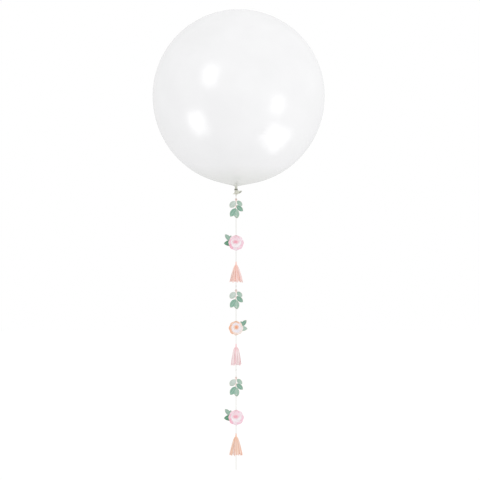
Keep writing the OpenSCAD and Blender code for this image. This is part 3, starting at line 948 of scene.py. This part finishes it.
def add_head(k, spec, body, slot):
    """Tissue twisted tight round the twine, paler where it opens into the strips."""
    drop, number = TASSEL_DROP[k], k + 1

    def twisted(along, angle):
        r = HEAD_TOP_R + (HEAD_FOOT_R - HEAD_TOP_R) * along / HEAD_H
        creases = 0.09 * math.cos(6 * angle - 0.35 * along) + 0.04 * math.cos(11 * angle + 0.5 * along)
        return r * (0.94 + creases)

    line = [Vector((0, 0, -drop - HEAD_H * i / 36)) for i in range(37)]
    head = tube(f"twisted_head_{number}", line, twisted, 48)
    ink = head.data.color_attributes.new("ink", "FLOAT_COLOR", "POINT")
    for value, vertex in zip(ink.data, head.data.vertices):
        share = (-vertex.co.z / MM - drop) / HEAD_H
        value.color = blend_ink(colour(spec["head"]), colour(spec["inks"][0]), share * 0.8)
    smooth(head)
    return settle(head, "tissue", body, slot, f"tassel_head_{number}")


def add_strip(spec, drop, layer, count, i, dice):
    """One cut strip of a fringe, and its flat area in square millimetres."""
    spread = (spec["width"] / 2 - 0.6) * (1 - 0.1 * layer)
    turn = FULL_TURN * (i + 0.5 * layer + dice.uniform(-0.25, 0.25)) / count
    length = spec["length"] - 0.5 - dice.uniform(0, 9) - 2 * layer
    reach = spread * dice.uniform(0.96, 1.04)
    twist, wide = dice.uniform(-1.1, 1.1), dice.uniform(4.6, 6.2)
    curl, sway = dice.uniform(-1, 1), dice.uniform(-0.06, 0.06)
    tone = colour(dice.choice(spec["inks"]))
    out = 3.6 - 0.9 * layer

    def place(along, across):
        r = out + (reach - out) * along ** spec["swell"] - 0.6 * layer * (1 - along)
        angle = turn + sway * math.sin(math.pi * along)
        way = Vector((math.cos(angle), math.sin(angle), 0))
        side = Vector((-way.y, way.x, 0))
        lie = twist * along ** 1.5
        edge = (side * math.cos(lie) + way * math.sin(lie)) * across * wide / 2
        edge *= 0.45 + 0.55 * min(1, along * 4)
        fold = 0.25 * math.cos(math.pi * across) + curl * max(0, along - TIP_FROM) * 8
        down = HEAD_H - TUCKED + (length - HEAD_H + TUCKED) * along
        return way * (r + fold) + edge + Vector((0, 0, -drop - down))

    def tint(along, across):
        inked = blend_ink(colour(spec["head"]), tone, min(1, 0.35 + 2.2 * along))
        return blend_ink(inked, colour(spec["tip"]), max(0, (along - TIP_FROM - 0.01) * 4.5))

    return shaped_grid("strip", 4, 16, place, 0.12, tint), wide * (length - HEAD_H)


def add_fringe(k, spec, body, slot, dice):
    """A fringe of cut strips, which hang in layers and splay outwards."""
    number = k + 1
    strips, area = [], 0.0
    for layer in range(LAYERS):
        count = spec["strips"] - 2 * layer
        for i in range(count):
            strip, flat = add_strip(spec, TASSEL_DROP[k], layer, count, i, dice)
            strips.append(strip)
            area += flat
    fringe = join(f"cut_fringe_{number}", strips)
    smooth(fringe, 60)
    settle(fringe, "tissue", body, slot, f"tassel_skirt_{number}")


def add_tassels():
    """One row of dice serves all three tassels, so each is cut a little differently."""
    dice = random.Random(7)
    for k, spec in enumerate(TASSELS):
        body = f"tassel_{k + 1}_piece"
        slot = "pink_tissue" if k == 1 else "peach_tissue"
        head = add_head(k, spec, body, slot)
        add_fringe(k, spec, body, slot, dice)


# ---- floor, light and background ----

def add_floor():
    """A plain pale floor below the tail's end. It is left out of the bounced light on the balloon."""
    floor = start("floor", bpy.ops.mesh.primitive_plane_add, size=40, location=(0, 0, -1.56))
    material = new_material("pale_matt_floor", Base_Color=colour("#8c8c8b"), Roughness=0.95,
                            Emission_Color=colour("#ffffff"), Emission_Strength=0.735)[0]
    floor.data.materials.append(material)
    floor.visible_diffuse = False
    floor.visible_glossy = False


def add_softbox(name, middle, towards, size, watts, diffuse):
    """A square studio softbox. One kind lights the surfaces, the other is only seen as a reflection."""
    data = bpy.data.lights.new(name, "AREA")
    data.shape, data.size, data.size_y = "RECTANGLE", size[0], size[1]
    data.energy = watts
    lamp = bpy.data.objects.new(name, data)
    bpy.context.scene.collection.objects.link(lamp)
    lamp.location = middle
    lamp.rotation_euler = (Vector(towards) - Vector(middle)).to_track_quat("-Z", "Y").to_euler()
    lamp.visible_camera = False
    lamp.visible_diffuse = diffuse
    lamp.visible_glossy = not diffuse


SOFTBOXES = [
    # name, where it shows across and up as shares of the balloon's radius from its middle,
    # width and height in metres, and how bright its cloth is
    ("softbox_upper_left", -0.32, 0.17, (1.1, 1.55), 4.2),
    ("softbox_lower_left", -0.456, -0.353, (1.35, 1.6), 4.6),
    ("softbox_upper_right", 0.437, -0.147, (0.95, 1.05), 3.8),
    ("softbox_lower_right", 0.42, -0.503, (2.3, 1.6), 4.2),
]
# Distance in metres of a softbox from the spot where it shows.
SOFTBOX_FAR = 3.2


def add_lights():
    """Four softboxes that show as highlights on the balloon, and a weak one that lights it."""
    centre = Vector((0.014, 0, 0.496))
    radius = SKIN_D / 2 * MM
    eye = bpy.context.scene.camera.location
    for name, across, up, size, glow in SOFTBOXES:
        normal = Vector((across, -math.sqrt(1 - across ** 2 - up ** 2), up))
        spot = centre + normal * radius
        seen_from = (eye - spot).normalized()
        away = (2 * normal.dot(seen_from) * normal - seen_from).normalized()
        watts = glow * math.pi * size[0] * size[1]
        add_softbox(name, spot + away * SOFTBOX_FAR, spot, size, watts, False)
    add_softbox("key_softbox", (2.2, -6.5, 2.4), centre, (3.5, 3.5), 20, True)


def add_background():
    """White behind everything, and a soft studio glow that is brightest at the sides, above all the right."""
    world = bpy.data.worlds.new("studio")
    bpy.context.scene.world = world
    world.use_nodes = True
    tree = world.node_tree
    tree.nodes.clear()
    way = add_node(tree, "ShaderNodeTexCoord").outputs["Generated"]
    parts = add_node(tree, "ShaderNodeSeparateXYZ", links={"Vector": way}).outputs
    below = add_node(tree, "ShaderNodeMath", {"operation": "MINIMUM", 1: 0.1}, {0: parts["Z"]})
    behind = add_node(tree, "ShaderNodeMapRange", {"From Min": 0.6, "From Max": 1.0, "To Max": -0.14},
                      {"Value": parts["Y"]})
    total = add_node(tree, "ShaderNodeMath", {"operation": "ADD", 1: 0.99}, {0: behind.outputs["Result"]})
    above = add_node(tree, "ShaderNodeMath", {"operation": "MAXIMUM", 1: 0.0}, {0: parts["Z"]})
    shares = ((parts["X"], 0.04), (parts["Y"], 0.01), (below.outputs[0], 0.12), (above.outputs[0], -0.1))
    for source, share in shares:
        total = add_node(tree, "ShaderNodeMath", {"operation": "MULTIPLY_ADD", 1: share},
                         {0: source, 2: total.outputs[0]})
    glow = add_node(tree, "ShaderNodeBackground", links={"Strength": total.outputs[0]})
    white = add_node(tree, "ShaderNodeBackground", {"Strength": 1.0, "Color": (1, 1, 1, 1)})
    glow.inputs["Color"].default_value = (1, 1, 1, 1)
    seen = add_node(tree, "ShaderNodeLightPath").outputs["Is Camera Ray"]
    mix = add_node(tree, "ShaderNodeMixShader", links={0: seen, 1: glow.outputs[0], 2: white.outputs[0]})
    add_node(tree, "ShaderNodeOutputWorld", links={"Surface": mix.outputs[0]})
    bpy.context.scene.view_settings.view_transform = "Standard"


add_camera()
add_twine()
add_skin()
add_neck()
add_loose_end()
add_tie()
add_sprigs()
add_roses()
add_tassels()
finish_cards()
add_floor()
add_lights()
add_background()
